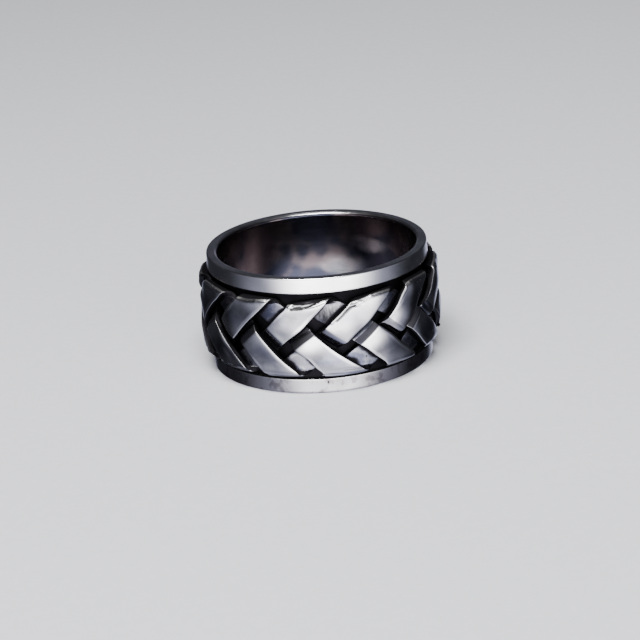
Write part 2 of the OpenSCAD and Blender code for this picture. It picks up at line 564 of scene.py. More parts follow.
def band_material(look, sizes):
    """Silver of the band: blackened in the channel, tarnished and painted with shade in the bore, and painted
    with spotted shade on the lower rail.
    """
    channel = BAND_W / 2 - sizes.rail_w

    def blackened(build, place, radius, turn, z, outward, up, blotches):
        wobble = (blotches - 0.5) * WAVERING
        middle = (z - BAND_W / 2).math("ABSOLUTE")
        within = (middle + wobble).step(channel + CHANNEL_EDGE[0], channel + CHANNEL_EDGE[1], 1.0, 0.0)
        deep = (radius + wobble).step(*CHANNEL_TOP)
        aside, above = (turn - PIT[0]) * RAIL_R, (z - PIT[1]) * PIT_SLIMNESS
        pit = (aside * aside + above * above).math("SQRT").step(*PIT_EDGE)
        return (within * deep).most(pit) * radius.step(*OUTSIDE)

    def tarnished(build, place, radius, turn, z, up):
        cloud = build.noise(place, *BORE_CLOUD)
        # Dark tarnish with painted shade over the bore, lighter higher up and in patches
        lighter = (z * LIGHTER_UPWARDS + cloud).step(*BORE_LIGHTER)
        for at, level, wide, tall, share in BORE_PATCHES:
            aside, above = (turn - math.radians(at)) * (BORE_R / wide), (z - level) / tall
            away = (aside * aside + above * above).math("SQRT") + (cloud - 0.5) * PATCH_RAGGEDNESS
            lighter = away.step(*PATCH_EDGE, share, 0.0).most(lighter)
        spots = build.noise(place, *RAIL_SPOTS).step(*SPOTTED)
        # Painted shade: the lower rail is darkened, with clouds and spots, and the upper one is not
        low_rail_shade = z.step(sizes.rail_w, sizes.rail_w * 2, LOW_RAIL_SHADE, 0.0)
        low_rail_shade = low_rail_shade * (cloud * RAIL_CLOUD + RAIL_LEAST + spots)
        return (radius.step(*BORE_SKIN) * (1 - lighter)).most(low_rail_shade)

    def dull(build, cloud, turn):
        aside = (turn - math.pi / 2).math("ABSOLUTE") * WARM_ASIDE
        return build.mix((cloud + aside).step(*WARM_BORE), tuple(look.bore), tuple(look.bore_warm))

    return silver_material("band_silver", look, look.gloss, blackened, tarnished, dull)


def sort_edges(mesh):
    """Sorts the edges of a swept strip's triangles into its three directions, walking from face to face."""
    mesh.faces.ensure_lookup_table()
    first = mesh.faces[0]
    kinds = {edge: kind for kind, edge in enumerate(first.edges)}
    waiting, seen = [first], {first}
    while waiting:
        face = waiting.pop()
        for edge in face.edges:
            other = next(f for f in edge.link_faces if f is not face)
            if other in seen:
                continue
            seen.add(other)
            waiting.append(other)
            for vertex in edge.verts:
                here = next(e for e in face.edges if e is not edge and vertex in e.verts)
                across = next(e for e in other.edges if e is not edge and vertex not in e.verts)
                kinds[across] = kinds[here]
    return kinds


def follow(kinds, kind, first, second):
    """Walks from one point to the next along edges of one direction, until it is back at the first."""
    line = [first, second]
    while True:
        steps = [edge.other_vert(line[-1]) for edge in line[-1].link_edges if kinds[edge] == kind]
        onward = steps[0] if steps[0] is not line[-2] else steps[1]
        if onward is first:
            return line
        line.append(onward)


def neighbours(kinds, kind, vertex):
    return [edge.other_vert(vertex) for edge in vertex.link_edges if kinds[edge] == kind]


def read_rings(name):
    """The frame's strip as rings of points round its section, one ring after another along the strip.

    The first ring is in the middle of a fold. In each ring the first point is on one edge of the strip.
    """
    mesh = bmesh.new()
    mesh.from_mesh(frame["nodes"][name].data)
    bmesh.ops.remove_doubles(mesh, verts=mesh.verts, dist=TOUCH / 10)
    kinds = sort_edges(mesh)
    start = next(iter(mesh.verts))
    lines = {}
    for kind in range(3):
        lines[kind] = follow(kinds, kind, start, neighbours(kinds, kind, start)[0])
    round_kind = min(lines, key=lambda kind: len(lines[kind]))
    ring = lines[round_kind]
    long_kind = min((kind for kind in lines if kind != round_kind), key=lambda kind: line_length(lines[kind]))
    sweep = []
    for point in ring:
        ways = neighbours(kinds, long_kind, point)
        if sweep:
            ways = [way for way in ways if sweep[-1][1] in neighbours(kinds, round_kind, way)]
        sweep.append(follow(kinds, long_kind, point, ways[0]))
    rings = [[line[i].co.copy() for line in sweep] for i in range(len(sweep[0]))]
    mesh.free()
    half = len(ring) // 2
    widths = [sum((r[k] - r[k + half]).length for r in rings) for k in range(half)]
    edge = widths.index(max(widths))
    rings = [r[edge:] + r[:edge] for r in rings]
    if (rings[0][0] - rings[0][half]).dot(forward_at(rings[0][0])) < 0:
        rings = [r[half:] + r[:half] for r in rings]
    fold = max(range(len(rings)), key=lambda i: abs(centre_of(rings[i]).z - BAND_W / 2))
    rings = rings[fold:] + rings[:fold]
    if radius_of(centre_of(rings[1])) < radius_of(centre_of(rings[-1])):
        rings = rings[:1] + rings[:0:-1]
    return rings


def forward_at(point):
    """The way round the ring at a point, from the left to the right where one looks at it from outside."""
    return Vector((-point.y, point.x, 0)).normalized()


def radius_of(point):
    return math.hypot(point.x, point.y)


def line_length(line):
    return sum((a.co - b.co).length for a, b in zip(line, line[1:] + line[:1]))


def centre_of(points):
    return sum(points, Vector()) / len(points)


# The frame's section of a strip: share of the half thickness at each of its points, edge to edge
FRAME_SECTION = (0.5, 0.457, 0.26, 0, -0.26, -0.457, -0.5)
FRAME_RISE = (0, 0.74, 0.95, 1, 0.95, 0.74, 0)
# One face of the dressed strip's section, flatter and with crisper edges: place across, and rise
FACE = (
    (0.5, 0.38), (0.495, 0.63), (0.477, 0.79), (0.44, 0.875), (0.25, 0.96), (0, 1),
    (-0.25, 0.96), (-0.44, 0.875), (-0.477, 0.79), (-0.495, 0.63), (-0.5, 0.38),
)
SECTION = FACE + tuple((-across, -rise) for across, rise in FACE)
# Points in the middle of a frame ring's two faces
FIRST_FACE, SECOND_FACE = 3, 9
# Rings of points from the middle of one fold to the middle of the next, those of a fold's quarter turn, and
# the one at the bend where the strip dives
PASS_RINGS = 27
TURN_RINGS = 4
BEND_RING = 10
# Shares of the squaring that rings after a fold get, and of the sharpening that rings near a bend get
SQUARED = {1: 0.42, 2: 1.0, 3: 0.5}
SUNK = {-1: 0.15, 0: 0.75, 1: 1.1, 2: 1.1, 3: 0.65, 4: 0.2}
# How bright the rings near a fold and near a bend are made: partly wear from handling, partly painted
# highlight where light catches the bends and the folds' shoulders and curls
RUBBED_AND_HIGHLIT = {
    2: 0.3, 3: 0.5, 4: 0.7, 5: 0.3, 8: 0.3, 9: 0.9, 10: 1.0, 11: 0.2,
    23: 0.4, 24: 0.9, 25: 1.0, 26: 0.5,
}
# How much of the blackening has come off the rings that run down the dive
BARE = {9: 0.05, 10: 0.2, 11: 0.36, 12: 0.4, 13: 0.34, 14: 0.2}


def across_ring(ring, across):
    """Middle of a strip's wall at a place across it, and the way from there to its first face."""
    last = len(FRAME_SECTION) - 1
    first = next(i for i in range(last) if FRAME_SECTION[i + 1] <= across)
    share = (FRAME_SECTION[first] - across) / (FRAME_SECTION[first] - FRAME_SECTION[first + 1])
    ends = []
    for i in (first, first + 1):
        near_edge = min(max(i, 1), last - 1)
        top, under = ring[near_edge], ring[-near_edge]
        half = (top - under) / (2 * FRAME_RISE[near_edge])
        middle = ring[i] if i in (0, last) else (top + under) / 2
        ends.append((middle, half))
    return ends[0][0].lerp(ends[1][0], share), ends[0][1].lerp(ends[1][1], share)


def dressed_ring(rings, index, sizes):
    """A ring of the dressed strip: crisp edges, squared folds and a sharp bend where the strip dives."""
    ring = rings[index]
    station = index % PASS_RINGS
    start = (index - station + TURN_RINGS) % len(rings)
    first_face_out = radius_of(rings[start][FIRST_FACE]) > radius_of(rings[start][SECOND_FACE])
    squared = SQUARED.get(station, 0) * sizes.squaring
    sunk = SUNK.get(station - BEND_RING, 0) * sizes.sharpening
    points = []
    for across, rise in SECTION:
        middle, half = across_ring(ring, across)
        point = middle + half * rise
        if (rise > 0) == first_face_out:
            point += half.normalized() * squared * rise
        outward = Vector((point.x, point.y, 0)).normalized()
        points.append(point - outward * sunk)
    return points


# Uneven spacing of the plait: turn in degrees, and how far the strips lie to the right of an even plait there
SPACING = (
    (-180, 0), (-110, 0), (-78, 2.4), (-57, 3.2), (-42, 2.4), (-30, 1.7), (-19, 0.2), (-10, 0), (4, 0),
    (12, 0.9), (20, 1.9), (30, 2.1), (42, 1.8), (55, 0.6), (75, 0), (180, 0),
)
# Where hands pushed the upper layer along: turn in degrees and height in mm, how far the push reaches to
# the sides and up and down, and the push itself to the right and up, in mm
PUSHES = (
    ((-6.5, 9.4), (1.1, 0.6), (0.0, -0.55)),
    ((-38.0, 9.6), (1.5, 0.6), (0.0, -0.40)),
    ((-8.0, 6.9), (1.2, 1.2), (0.20, -0.20)),
    ((20.0, 7.2), (1.2, 1.2), (0.20, -0.10)),
    ((16.5, 9.2), (1.0, 0.6), (-0.10, -0.25)),
    ((13.0, 8.6), (0.6, 0.5), (-0.22, 0.0)),
    ((43.0, 9.6), (1.2, 0.6), (0.10, -0.30)),
    ((-9.0, 3.6), (0.9, 0.9), (0.20, 0.10)),
    ((26.0, 2.3), (0.9, 0.6), (0.35, 0.10)),
)
# Radii in mm between which a push grows from nothing to its whole, from the lower layer to the upper one
PUSHED_FROM, PUSHED_TO = 10.72, 11.05
# Radii in mm between which the slow waves of the upper layer's faces grow to their whole
UPPER_FROM, UPPER_TO = 11.0, 11.3


def smooth_share(x):
    share = max(0.0, min(1.0, x))
    return share * share * (3 - 2 * share)


def handled(point):
    """Where a point of an even plait lies in the handmade one."""
    radius = radius_of(point)
    turn = math.degrees(math.atan2(point.x, -point.y))
    height = point.z * 1000
    after = next(i for i, (place, _) in enumerate(SPACING) if place >= turn and i)
    (low, first), (high, last) = SPACING[after - 1], SPACING[after]
    turned = turn + first + (last - first) * smooth_share((turn - low) / (high - low))
    share = smooth_share((radius * 1000 - PUSHED_FROM) / (PUSHED_TO - PUSHED_FROM))
    arc = math.radians(radius * 1000)
    for (at, level), (wide, tall), (right, up) in PUSHES:
        away = ((turned - at) * arc / wide) ** 2 + ((point.z * 1000 - level) / tall) ** 2
        push = share * math.exp(-away)
        turned += right * push / arc
        height += up * push
    angle = math.radians(turned)
    return Vector((radius * math.sin(angle), -radius * math.cos(angle), height / 1000))


def strip_mesh(name, sizes):
    """The dressed strip's mesh: its rings joined into one endless skin."""
    rings = read_rings(name)
    points = [handled(p) for i in range(len(rings)) for p in dressed_ring(rings, i, sizes)]
    corners = len(SECTION)
    faces = []
    for i in range(len(rings)):
        here, onward = i * corners, (i + 1) % len(rings) * corners
        for k in range(corners):
            beside = (k + 1) % corners
            faces.append((here + k, onward + k, onward + beside, here + beside))
    mesh = bpy.data.meshes.new(name)
    mesh.from_pydata(points, [], faces)
    sideways = mesh.attributes.new("across", "FLOAT", "POINT")
    sideways.data.foreach_set("value", [abs(across) * 2 for across, _ in SECTION] * len(rings))
    for kind, shares in (("rubbed", RUBBED_AND_HIGHLIT), ("bare", BARE)):
        layer = mesh.attributes.new(kind, "FLOAT", "POINT")
        layer.data.foreach_set("value", [
            shares.get(i % PASS_RINGS, 0.0) for i in range(len(rings)) for _ in SECTION])
    return mesh


# Marks that bending left on the folds in front: the path of each one, as turns in degrees and heights in
# mm, its half width and its rise in mm. A groove lies inside a fold's lip, and a lip stands beside it.
MARKS = (
    (((-15.1, 8.83), (-12.6, 9.15), (-10.3, 9.25), (-8.0, 9.1), (-5.7, 9.12), (-3.4, 9.29), (-1.0, 9.52),
      (1.4, 9.64), (3.6, 9.62)), 0.12, 0.07),
    (((-14.2, 8.62), (-10.9, 8.75), (-8.1, 8.83), (-5.8, 8.92), (-3.4, 9.09), (-1.0, 9.32), (1.3, 9.44),
      (2.9, 9.44)), 0.085, -0.08),
    (((-11.9, 8.78), (-9.9, 8.78)), 0.19, -0.10),
    (((-9.3, 9.42), (-5.6, 9.38), (-2.8, 9.55), (0.0, 9.78)), 0.17, -0.12),
    (((50.0, 8.6), (45.0, 7.0)), 0.9, 0.09),
    (((38.0, 8.0), (34.0, 6.6)), 0.6, -0.05),
    (((4.5, 7.2), (5.7, 7.42), (8.2, 7.84), (10.6, 8.25), (13.1, 8.67), (15.1, 8.9), (17.6, 8.93),
      (20.0, 8.82), (22.0, 9.0), (24.7, 9.2)), 0.11, 0.06),
    (((24.7, 9.2), (27.9, 9.38), (31.2, 9.46)), 0.11, 0.025),
    (((6.9, 7.35), (8.6, 7.63), (10.8, 8.0), (12.7, 8.29), (14.5, 8.48), (16.2, 8.54)), 0.085, -0.07),
    (((16.2, 8.54), (19.4, 8.56)), 0.085, -0.03),
    (((-32.0, 9.25), (-27.5, 9.45)), 0.14, 0.05),
    (((31.0, 6.6), (38.0, 7.8), (44.5, 9.0)), 0.14, 0.05),
    (((-12.0, 2.25), (1.0, 2.1)), 0.12, 0.04),
    (((-14.0, 2.75), (-6.5, 2.9)), 0.12, -0.04),
    (((10.0, 2.4), (18.0, 2.3)), 0.13, -0.04),
    (((-180.0, 1.9), (180.0, 1.9)), 0.5, -0.15),
)
# Turn of one fold at each rim, their spacing, and the heights of the two rows of lips, in degrees and mm
FOLD_TURNS = (-5.0, 10.0)
FOLD_SPACING = 30.0
LIP_HEIGHTS = (9.3, 2.0)
# Turn in degrees to either side of the front up to which the photograph gives the marks
SHOWN_TURN = 50
# Radii in mm between which a mark grows from nothing to its whole
MARKED_FROM, MARKED_TO = 10.95, 11.2
# Widest mark that keeps blackening in its groove or a shine on its ridge
NARROW_MARK = 0.3
# How many half widths from its middle a mark ends, and the least rise for which faces are divided
MARK_END = 2.2
FELT_RISE = 0.004
# Whole degrees that a mark reaches past its ends, and further ones for each mm of its half width
REACH_TURN, WIDE_TURN = 3, 11


def all_marks(seed=4):
    """The marks in front, and others like them that a seeded chance spreads over the folds at the back."""
    chance = random.Random(seed)
    marks = list(MARKS)
    for row, lip in enumerate(LIP_HEIGHTS):
        inwards = -1 if row == 0 else 1
        for i in range(round(360 / FOLD_SPACING)):
            turn = (FOLD_TURNS[row] + i * FOLD_SPACING + 180) % 360 - 180
            if abs(turn) < SHOWN_TURN:
                continue
            marks.extend(fold_marks(chance, turn, lip, inwards))
    return marks


def fold_marks(chance, turn, lip, inwards):
    """A lip, a shallow crooked groove that fades out, and a soft dent or two by one fold."""
    start = turn - chance.uniform(2, 8)
    level = lip + inwards * chance.uniform(0.2, 0.34)
    deepest = chance.uniform(0.02, 0.06)
    marks = []
    places = [(start, level)]
    for share in (0.5, 1.0, 0.6):
        places.append((places[-1][0] + chance.uniform(1.5, 3.0), places[-1][1] + chance.uniform(-0.1, 0.1)))
        marks.append((tuple(places[-2:]), chance.uniform(0.09, 0.14), -deepest * share))
    marks.append((((turn - 7, lip), (turn - 1, lip + chance.uniform(-0.05, 0.1)), (turn + 5, lip)),
                  chance.uniform(0.13, 0.18), chance.uniform(0.02, 0.06)))
    for _ in range(chance.choice((1, 2))):
        dent = turn + chance.uniform(-9, 7)
        height = lip + inwards * chance.uniform(0.4, 1.6)
        marks.append((((dent, height), (dent + 1.5, height + chance.uniform(-0.15, 0.15))),
                      chance.uniform(0.3, 0.55), chance.choice((-0.05, -0.035, 0.03))))
    return marks


def marks_by_turn(marks):
    """The straight stretches of all marks, listed under each whole degree that they come near."""
    listed = {}
    for path, half_width, rise in marks:
        for start, end in zip(path, path[1:]):
            low, high = sorted((start[0], end[0]))
            near_turn = REACH_TURN + round(half_width * WIDE_TURN)
            for turn in range(math.floor(low) - near_turn, math.ceil(high) + near_turn + 1):
                listed.setdefault((turn + 180) % 360 - 180, []).append((start, end, half_width, rise))
    return listed


def mark_rise(listed, place, widest=math.inf):
    """What the marks add at a place: the rise of the nearest stretch of each kind, fading to its sides."""
    radius = radius_of(place) * 1000
    turn = math.degrees(math.atan2(place.x, -place.y))
    height = place.z * 1000
    arc = math.radians(radius)
    rises = {}
    for start, end, half_width, rise in listed.get(math.floor(turn), ()):
        if half_width > widest:
            continue
        line = Vector(((end[0] - start[0]) * arc, end[1] - start[1]))
        here = Vector(((turn - start[0]) * arc, height - start[1]))
        along = max(0.0, min(1.0, here.dot(line) / line.length_squared))
        away = (here - line * along).length / half_width
        if away < MARK_END:
            kind = (half_width, rise)
            rises[kind] = max(rises.get(kind, 0.0), math.exp(-away * away))
    return sum(rise * share for (_, rise), share in rises.items())


def refine_marks(obj, listed):
    """Divides the faces of a strip's upper layer on which marks come to lie."""
    bpy.ops.object.mode_set(mode="EDIT")
    select_in_edit(obj, "faces", lambda face: radius_of(face.calc_center_median()) * 1000 > MARKED_FROM
                   and any(abs(mark_rise(listed, v.co, NARROW_MARK)) > FELT_RISE for v in face.verts))
    bpy.ops.mesh.subdivide(number_cuts=1)
    bpy.ops.object.mode_set(mode="OBJECT")


def press_marks(obj, listed):
    """Moves the points of a strip's upper layer in and out along their normals, by all marks near them."""
    pressed = obj.data.attributes.new("pressed", "FLOAT", "POINT")
    moves = []
    for vertex in obj.data.vertices:
        share = smooth_share((radius_of(vertex.co) * 1000 - MARKED_FROM) / (MARKED_TO - MARKED_FROM))
        rise = share and mark_rise(listed, vertex.co)
        if rise:
            moves.append((vertex, vertex.normal * rise * share / 1000))
            pressed.data[vertex.index].value = mark_rise(listed, vertex.co, NARROW_MARK) * share
    for vertex, move in moves:
        vertex.co += move


def plait_tree(strips):
    """The frame's band and the new strips in one tree that rays can be cast at."""
    points, faces = [], []
    for obj in (frame["nodes"]["band"], *strips):
        mesh = obj.data
        start = len(points)
        points.extend(vertex.co.copy() for vertex in mesh.vertices)
        faces.extend([start + i for i in face.vertices] for face in mesh.polygons)
    return BVHTree.FromPolygons(points, faces)


def dome_of_rays(rings=4, per_ring=8):
    """Directions that fill the dome over a level face, closer together where they stand up."""
    rays = []
    for ring in range(rings):
        out = math.sqrt((ring + 0.5) / rings)
        for step in range(per_ring):
            turn = math.tau * (step + ring / rings) / per_ring
            rays.append(Vector((out * math.cos(turn), out * math.sin(turn), math.sqrt(1 - out * out))))
    return rays


def mark_reach(obj, tree, far=0.0014, clear=0.00005):
    """Gives each point the share of its dome that is open: how well a polishing cloth reaches it."""
    rays = dome_of_rays()
    shares = []
    for vertex in obj.data.vertices:
        start = vertex.co + vertex.normal * clear
        turn = Vector((0, 0, 1)).rotation_difference(vertex.normal)
        open_rays = sum(tree.ray_cast(start, turn @ ray, far)[0] is None for ray in rays)
        shares.append(open_rays / len(rays))
    carry(obj, "reach", spread_out(shares, points_around(obj), 1))


def points_around(obj):
    """For each point of a piece, the points that an edge joins to it."""
    around = [[] for _ in obj.data.vertices]
    for first, second in obj.data.edge_keys:
        around[first].append(second)
        around[second].append(first)
    return around


def spread_out(values, around, times):
    """Evens out a row of values by averaging each with those of the points around it."""
    for _ in range(times):
        values = [(values[i] + sum(values[k] for k in others)) / (1 + len(others))
                  for i, others in enumerate(around)]
    return values


def carry(obj, name, values):
    """Stores a number at each point of a piece, for its material."""
    obj.data.attributes.new(name, "FLOAT", "POINT").data.foreach_set("value", values)


def mark_ridges(obj, spread=5):
    """Gives each point its share of the wear that ridges near it get, from how far they stand out."""
    around = points_around(obj)
    places = [vertex.co.copy() for vertex in obj.data.vertices]
    heights = []
    for vertex, others in zip(obj.data.vertices, around):
        middle = centre_of([places[i] for i in others])
        reach = sum((places[i] - vertex.co).length for i in others) / len(others)
        heights.append(max(0.0, (vertex.co - middle).dot(vertex.normal) / reach))
    carry(obj, "ridge", spread_out(heights, around, spread))


# Turn, from the ring's right, of a painted highlight: the strip there keeps less tarnish, so that it looks
# lit
PAINTED_HIGHLIGHT_TURN = math.radians(-72)
# Heights between which the lower folds' part of the plait ends, those where its upper half begins, and those
# where the painted highlight begins
LOW_PART = (BAND_W * 0.26, BAND_W * 0.4)
UPPER_HALF = (BAND_W * 0.4, BAND_W * 0.6)
PAINTED_HIGHLIGHT_HEIGHTS = (BAND_W * 0.45, BAND_W * 0.6)
# Radii between which the upper layer of strips begins, for blackening and for tarnish
UPPER_LAYER = (CREST_R - 0.00072, CREST_R - 0.00045)
CLEAN_LAYER = (CREST_R - 0.00075, CREST_R - 0.00015)
# Noises of grime along the strips, of grime in patches, of black spots and of tarnish
BRUSHED = (1.0, 3.0, 0.65)
GRIME = (380.0, 1.0, 0.5)
BLACK_SPOTS = (2100.0, 2.0, 0.5)
FINE_TARNISH = (1500.0, 3.0, 0.65)
HAZE = (650.0, 3.0, 0.5)
DULL_PATCHES = (420.0, 1.0, 0.5)
# Grime along the strips: how closely it lies round the ring, upwards and in depth, per metre, its contrast,
# least and most, and what is left of it low down and where wear and painted highlight brighten the strips
GRIME_LINES = (12000, 1600, 900)
GRIME_CONTRAST, GRIME_LEAST, GRIME_MOST = 1.1, 0.1, 0.9
LOW_GRIME = 0.45
RUBBED_HIGHLIT_GRIME = 0.7
# What blotches, the upper layer, and wear with painted highlight, low down and higher up, add to how open a
# place counts; low down this paints a highlight on the lower folds' curls
BLOTCHED, RAISED = 0.2, 0.22
RUBBED_HIGHLIT_OPEN = (0.5, 0.15)
# How much of a steep wall stays black low down and higher up, less low down for a painted highlight on the
# lower folds' curls, how fast bareness cleans it, and how much blotches shift its depth, in metres
WALL_BLACK_AND_LOW_HIGHLIGHT = (0.4, 1.0)
WALL_BARE = 2.5
BLOTCHED_DEPTH = 0.00015
SPOT_BLACK = 0.7
# Fades of the blackening, each by what drives it: openness, how far a face looks out, depth, nearness to a
# strip's edge, depth of a groove, and the noises
SHUT_IN = (0.50, 0.75, 1.0, 0.0)
STEEP = (0.58, 0.9, 1.0, 0.0)
BELOW_CREST = (CREST_R - 0.00055, CREST_R - 0.0002, 1.0, 0.0)
AT_EDGE = (0.955, 0.99)
IN_GROOVE = (-0.065, -0.02, 0.92, 0.0)
SPOTTED_BLACK = (0.56, 0.68)
GRIMY = (0.35, 0.65, 0.8, 0.5)
# Painted light: grime fades out aside from the front, so that the sides look lighter where less light falls
PAINTED_LIGHT_ASIDE = (0.25, 0.45, 1.0, 0.3)
# A facet is where a strip runs down its dive: bareness from which it begins, tilt between those that look
# down and those that look up, and the black and the tarnish of both, which paint shade: darker on facets that
# look up
FACET = (0.2, 0.3)
FACET_TILT = (-0.12, 0.1)
FACET_PAINTED_SHADE = (0.0, 0.84)
FACET_TARNISH_AND_SHADE = (0.8, 0.9)
# Fades of the tarnish, in the same way
HIDDEN = (0.55, 0.9, 0.95, 0.0)
HAZY = (0.3, 0.75, 0.75, 0.95)
PATCHY = (0.4, 0.6, 0.98, 0.6)
ON_RIDGE = (0.01, 0.10)
ON_LIP = (0.01, 0.04)
NEAR_EDGE = (0.6, 0.9, 0.0, 0.75)
# Fade of the painted highlight round its strip
PAINTED_HIGHLIGHT_FADE = (0.12, 0.38, 0.45, 0.0)
COOL_TARNISH = (0.4, 0.6)
MOST_TARNISH = 0.95
# How much clouds shift openness and the tarnish of the lower layer, the least of that, and how much of the
# tarnish wear with painted highlight, and wear with painted highlight near folds and bends, take off
CLOUDED_REACH, CLOUDED_PATCH = 0.45, 1.1
LEAST_PATCH = 0.15
WORN_AND_HIGHLIT_OFF, RUBBED_HIGHLIT_OFF = 0.95, 0.85


def strip_material(look):
    """Silver of the plait: bright where hands and cloth reach it and with painted highlights, tarnished
    elsewhere, black in the gaps, with painted shade on the dive facets and painted light at the sides.
    """

    def blackened(build, place, radius, turn, z, outward, up, blotches):
        bare = build.attribute("bare")
        rubbed = build.attribute("rubbed")
        upper = radius.step(*UPPER_LAYER)
        reach = build.attribute("reach") + (blotches - 0.5) * BLOTCHED + upper * RAISED + bare
        # Wear and painted highlight near folds and bends open the blackening, most on the lower folds' curls
        reach = reach + rubbed * z.step(*LOW_PART, *RUBBED_HIGHLIT_OPEN)
        along, upwards, inwards = GRIME_LINES
        brushed = build.noise(build.vector(turn * radius * along, z * upwards, radius * inwards), *BRUSHED)
        grime = (brushed - 0.5) * GRIME_CONTRAST + build.noise(place, *GRIME).step(*GRIMY)
        grime = grime.most(GRIME_LEAST).least(GRIME_MOST) * (1 - upper)
        # Less grime where wear and painted highlight brighten the strips
        grime = grime * z.step(*UPPER_HALF, LOW_GRIME, 1.0) * (1 - rubbed * RUBBED_HIGHLIT_GRIME)
        # Painted light: less grime aside from the front
        grime = grime * (turn + math.pi / 2).math("ABSOLUTE").step(*PAINTED_LIGHT_ASIDE)
        # Painted highlight: steep walls stay less black on the lower folds, lighting their curls
        wall = outward.step(*STEEP) * (1 - bare * WALL_BARE).most(0.0) * z.step(*LOW_PART, *WALL_BLACK_AND_LOW_HIGHLIGHT)
        deep = (radius + (blotches - 0.5) * BLOTCHED_DEPTH).step(*BELOW_CREST)
        black = reach.step(*SHUT_IN).most(wall * deep)
        # Painted shade on the dive facets: blacker as a facet looks up, not black as it looks down
        black = black + (up.step(*FACET_TILT, *FACET_PAINTED_SHADE) - black) * bare.step(*FACET)
        spots = build.noise(place, *BLACK_SPOTS).step(*SPOTTED_BLACK) * (1 - upper) * SPOT_BLACK
        side = build.attribute("across").step(*AT_EDGE)
        groove = build.attribute("pressed").step(*IN_GROOVE)
        return black.most(side).most(spots).most(groove).most(grime)

    def tarnished(build, place, radius, turn, z, up):
        cloud = build.noise(place, *FINE_TARNISH)
        reach = build.attribute("reach") + (cloud - 0.5) * CLOUDED_REACH
        patch = build.noise(place, *DULL_PATCHES).step(*PATCHY) + (cloud - 0.5) * CLOUDED_PATCH
        lowly = patch.most(LEAST_PATCH).least(1.0) * (1 - radius.step(*CLEAN_LAYER))
        worn_and_highlit = build.attribute("ridge").step(*ON_RIDGE).most(build.attribute("pressed").step(*ON_LIP))
        worn_and_highlit = worn_and_highlit.most(build.attribute("across").step(*NEAR_EDGE))
        # Wear and painted highlight near folds and bends take off tarnish
        worn_and_highlit = worn_and_highlit.most(build.attribute("rubbed") * RUBBED_HIGHLIT_OFF)
        # Painted highlight: one strip in front keeps less tarnish, standing in for the light that falls on it
        painted_highlight = (turn - PAINTED_HIGHLIGHT_TURN).math("ABSOLUTE").step(*PAINTED_HIGHLIGHT_FADE) * z.step(*PAINTED_HIGHLIGHT_HEIGHTS)
        haze = build.noise(place, *HAZE).step(*HAZY)
        dull = (haze * (1 - worn_and_highlit * WORN_AND_HIGHLIT_OFF) * (1 - painted_highlight)).most(reach.step(*HIDDEN)).most(lowly)
        facet = build.attribute("bare").step(*FACET)
        # Painted shade on the dive facets: more tarnish as a facet looks up
        return (dull + (up.step(*FACET_TILT, *FACET_TARNISH_AND_SHADE) - dull) * facet).least(MOST_TARNISH)

    def dull(build, cloud, turn):
        return build.mix(cloud.step(*COOL_TARNISH), tuple(look.tarnish), tuple(look.tarnish_cool))

    return silver_material("plait_silver", look, look.satin, blackened, tarnished, dull)


# Sizes in metres and depths of the noises that move the strips' skin
FORMING = (0.0026, 0)
HAMMERING = (0.0009, 2)
CRUMPLING = (0.0011, 1)
# Angle up to which a strip is shaded smooth, and how sharp its bends stay when it is softened
STRIP_SMOOTH = 75
BEND_CREASE = 0.55


class RING_OT_plait(bpy.types.Operator):
    """Make the plait's three strips, smooth and hammered, from the frame's own strips."""

    bl_idname = "ring.plait"
    bl_label = "Plait"
    bl_options = {"REGISTER", "UNDO"}

    def execute(self, context):
        sizes = context.scene.ring_plait
        material = strip_material(context.scene.ring_silver)
        hands = clouds("forming", *FORMING)
        hammer = clouds("hammering", *HAMMERING)
        crumple = clouds("crumpling", *CRUMPLING)
        marks = marks_by_turn(all_marks())
        strips = [new_strip(context.scene, name, sizes) for name in STRIPS]
        tree = plait_tree(strips)
        for name, obj in zip(STRIPS, strips):
            soften(obj)
            mark_upper(obj)
            mark_reach(obj, tree)
            mark_ridges(obj)
            soften(obj)
            pick(obj)
            refine_marks(obj, marks)
            press_marks(obj, marks)
            displace(obj, hands, sizes.forming, "upper")
            displace(obj, hammer, sizes.hammering)
            displace(obj, crumple, sizes.crumpling, "folds")
            smooth(obj, STRIP_SMOOTH)
            obj.data.materials.append(material)
            finish_piece(obj, name.replace("strip", "plaited_strip"), [name])
        return {"FINISHED"}


def new_strip(scene, name, sizes):
    """Adds the object of one strip, with its folds in a vertex group."""
    obj = bpy.data.objects.new(name, strip_mesh(name, sizes))
    scene.collection.objects.link(obj)
    pick(obj)
    bpy.ops.object.mode_set(mode="EDIT")
    bpy.ops.mesh.select_all(action="SELECT")
    bpy.ops.mesh.normals_make_consistent(inside=False)
    corners = len(SECTION)
    select_in_edit(obj, "edges", lambda edge: all(
        v.index // corners % PASS_RINGS == BEND_RING for v in edge.verts))
    bpy.ops.transform.edge_crease(value=BEND_CREASE)
    bpy.ops.object.mode_set(mode="OBJECT")
    folds = obj.vertex_groups.new(name="folds")
    for i in range(len(obj.data.vertices) // corners):
        station = i % PASS_RINGS
        from_fold = min(station, PASS_RINGS - station)
        weight = max(0.0, 1 - from_fold / (TURN_RINGS + 2))
        folds.add(list(range(i * corners, (i + 1) * corners)), weight, "REPLACE")
    return obj


def mark_upper(obj):
    """Puts the upper layer's outer faces in a vertex group. What lies close to other pieces is left out."""
    group = obj.vertex_groups.new(name="upper")
    for vertex in obj.data.vertices:
        radius = radius_of(vertex.co) * 1000
        group.add([vertex.index], smooth_share((radius - UPPER_FROM) / (UPPER_TO - UPPER_FROM)), "REPLACE")


def soften(obj):
    """Applies one level of subdivision."""
    pick(obj)
    smoothing = obj.modifiers.new("soften", "SUBSURF")
    bpy.ops.object.modifier_apply(modifier=smoothing.name)


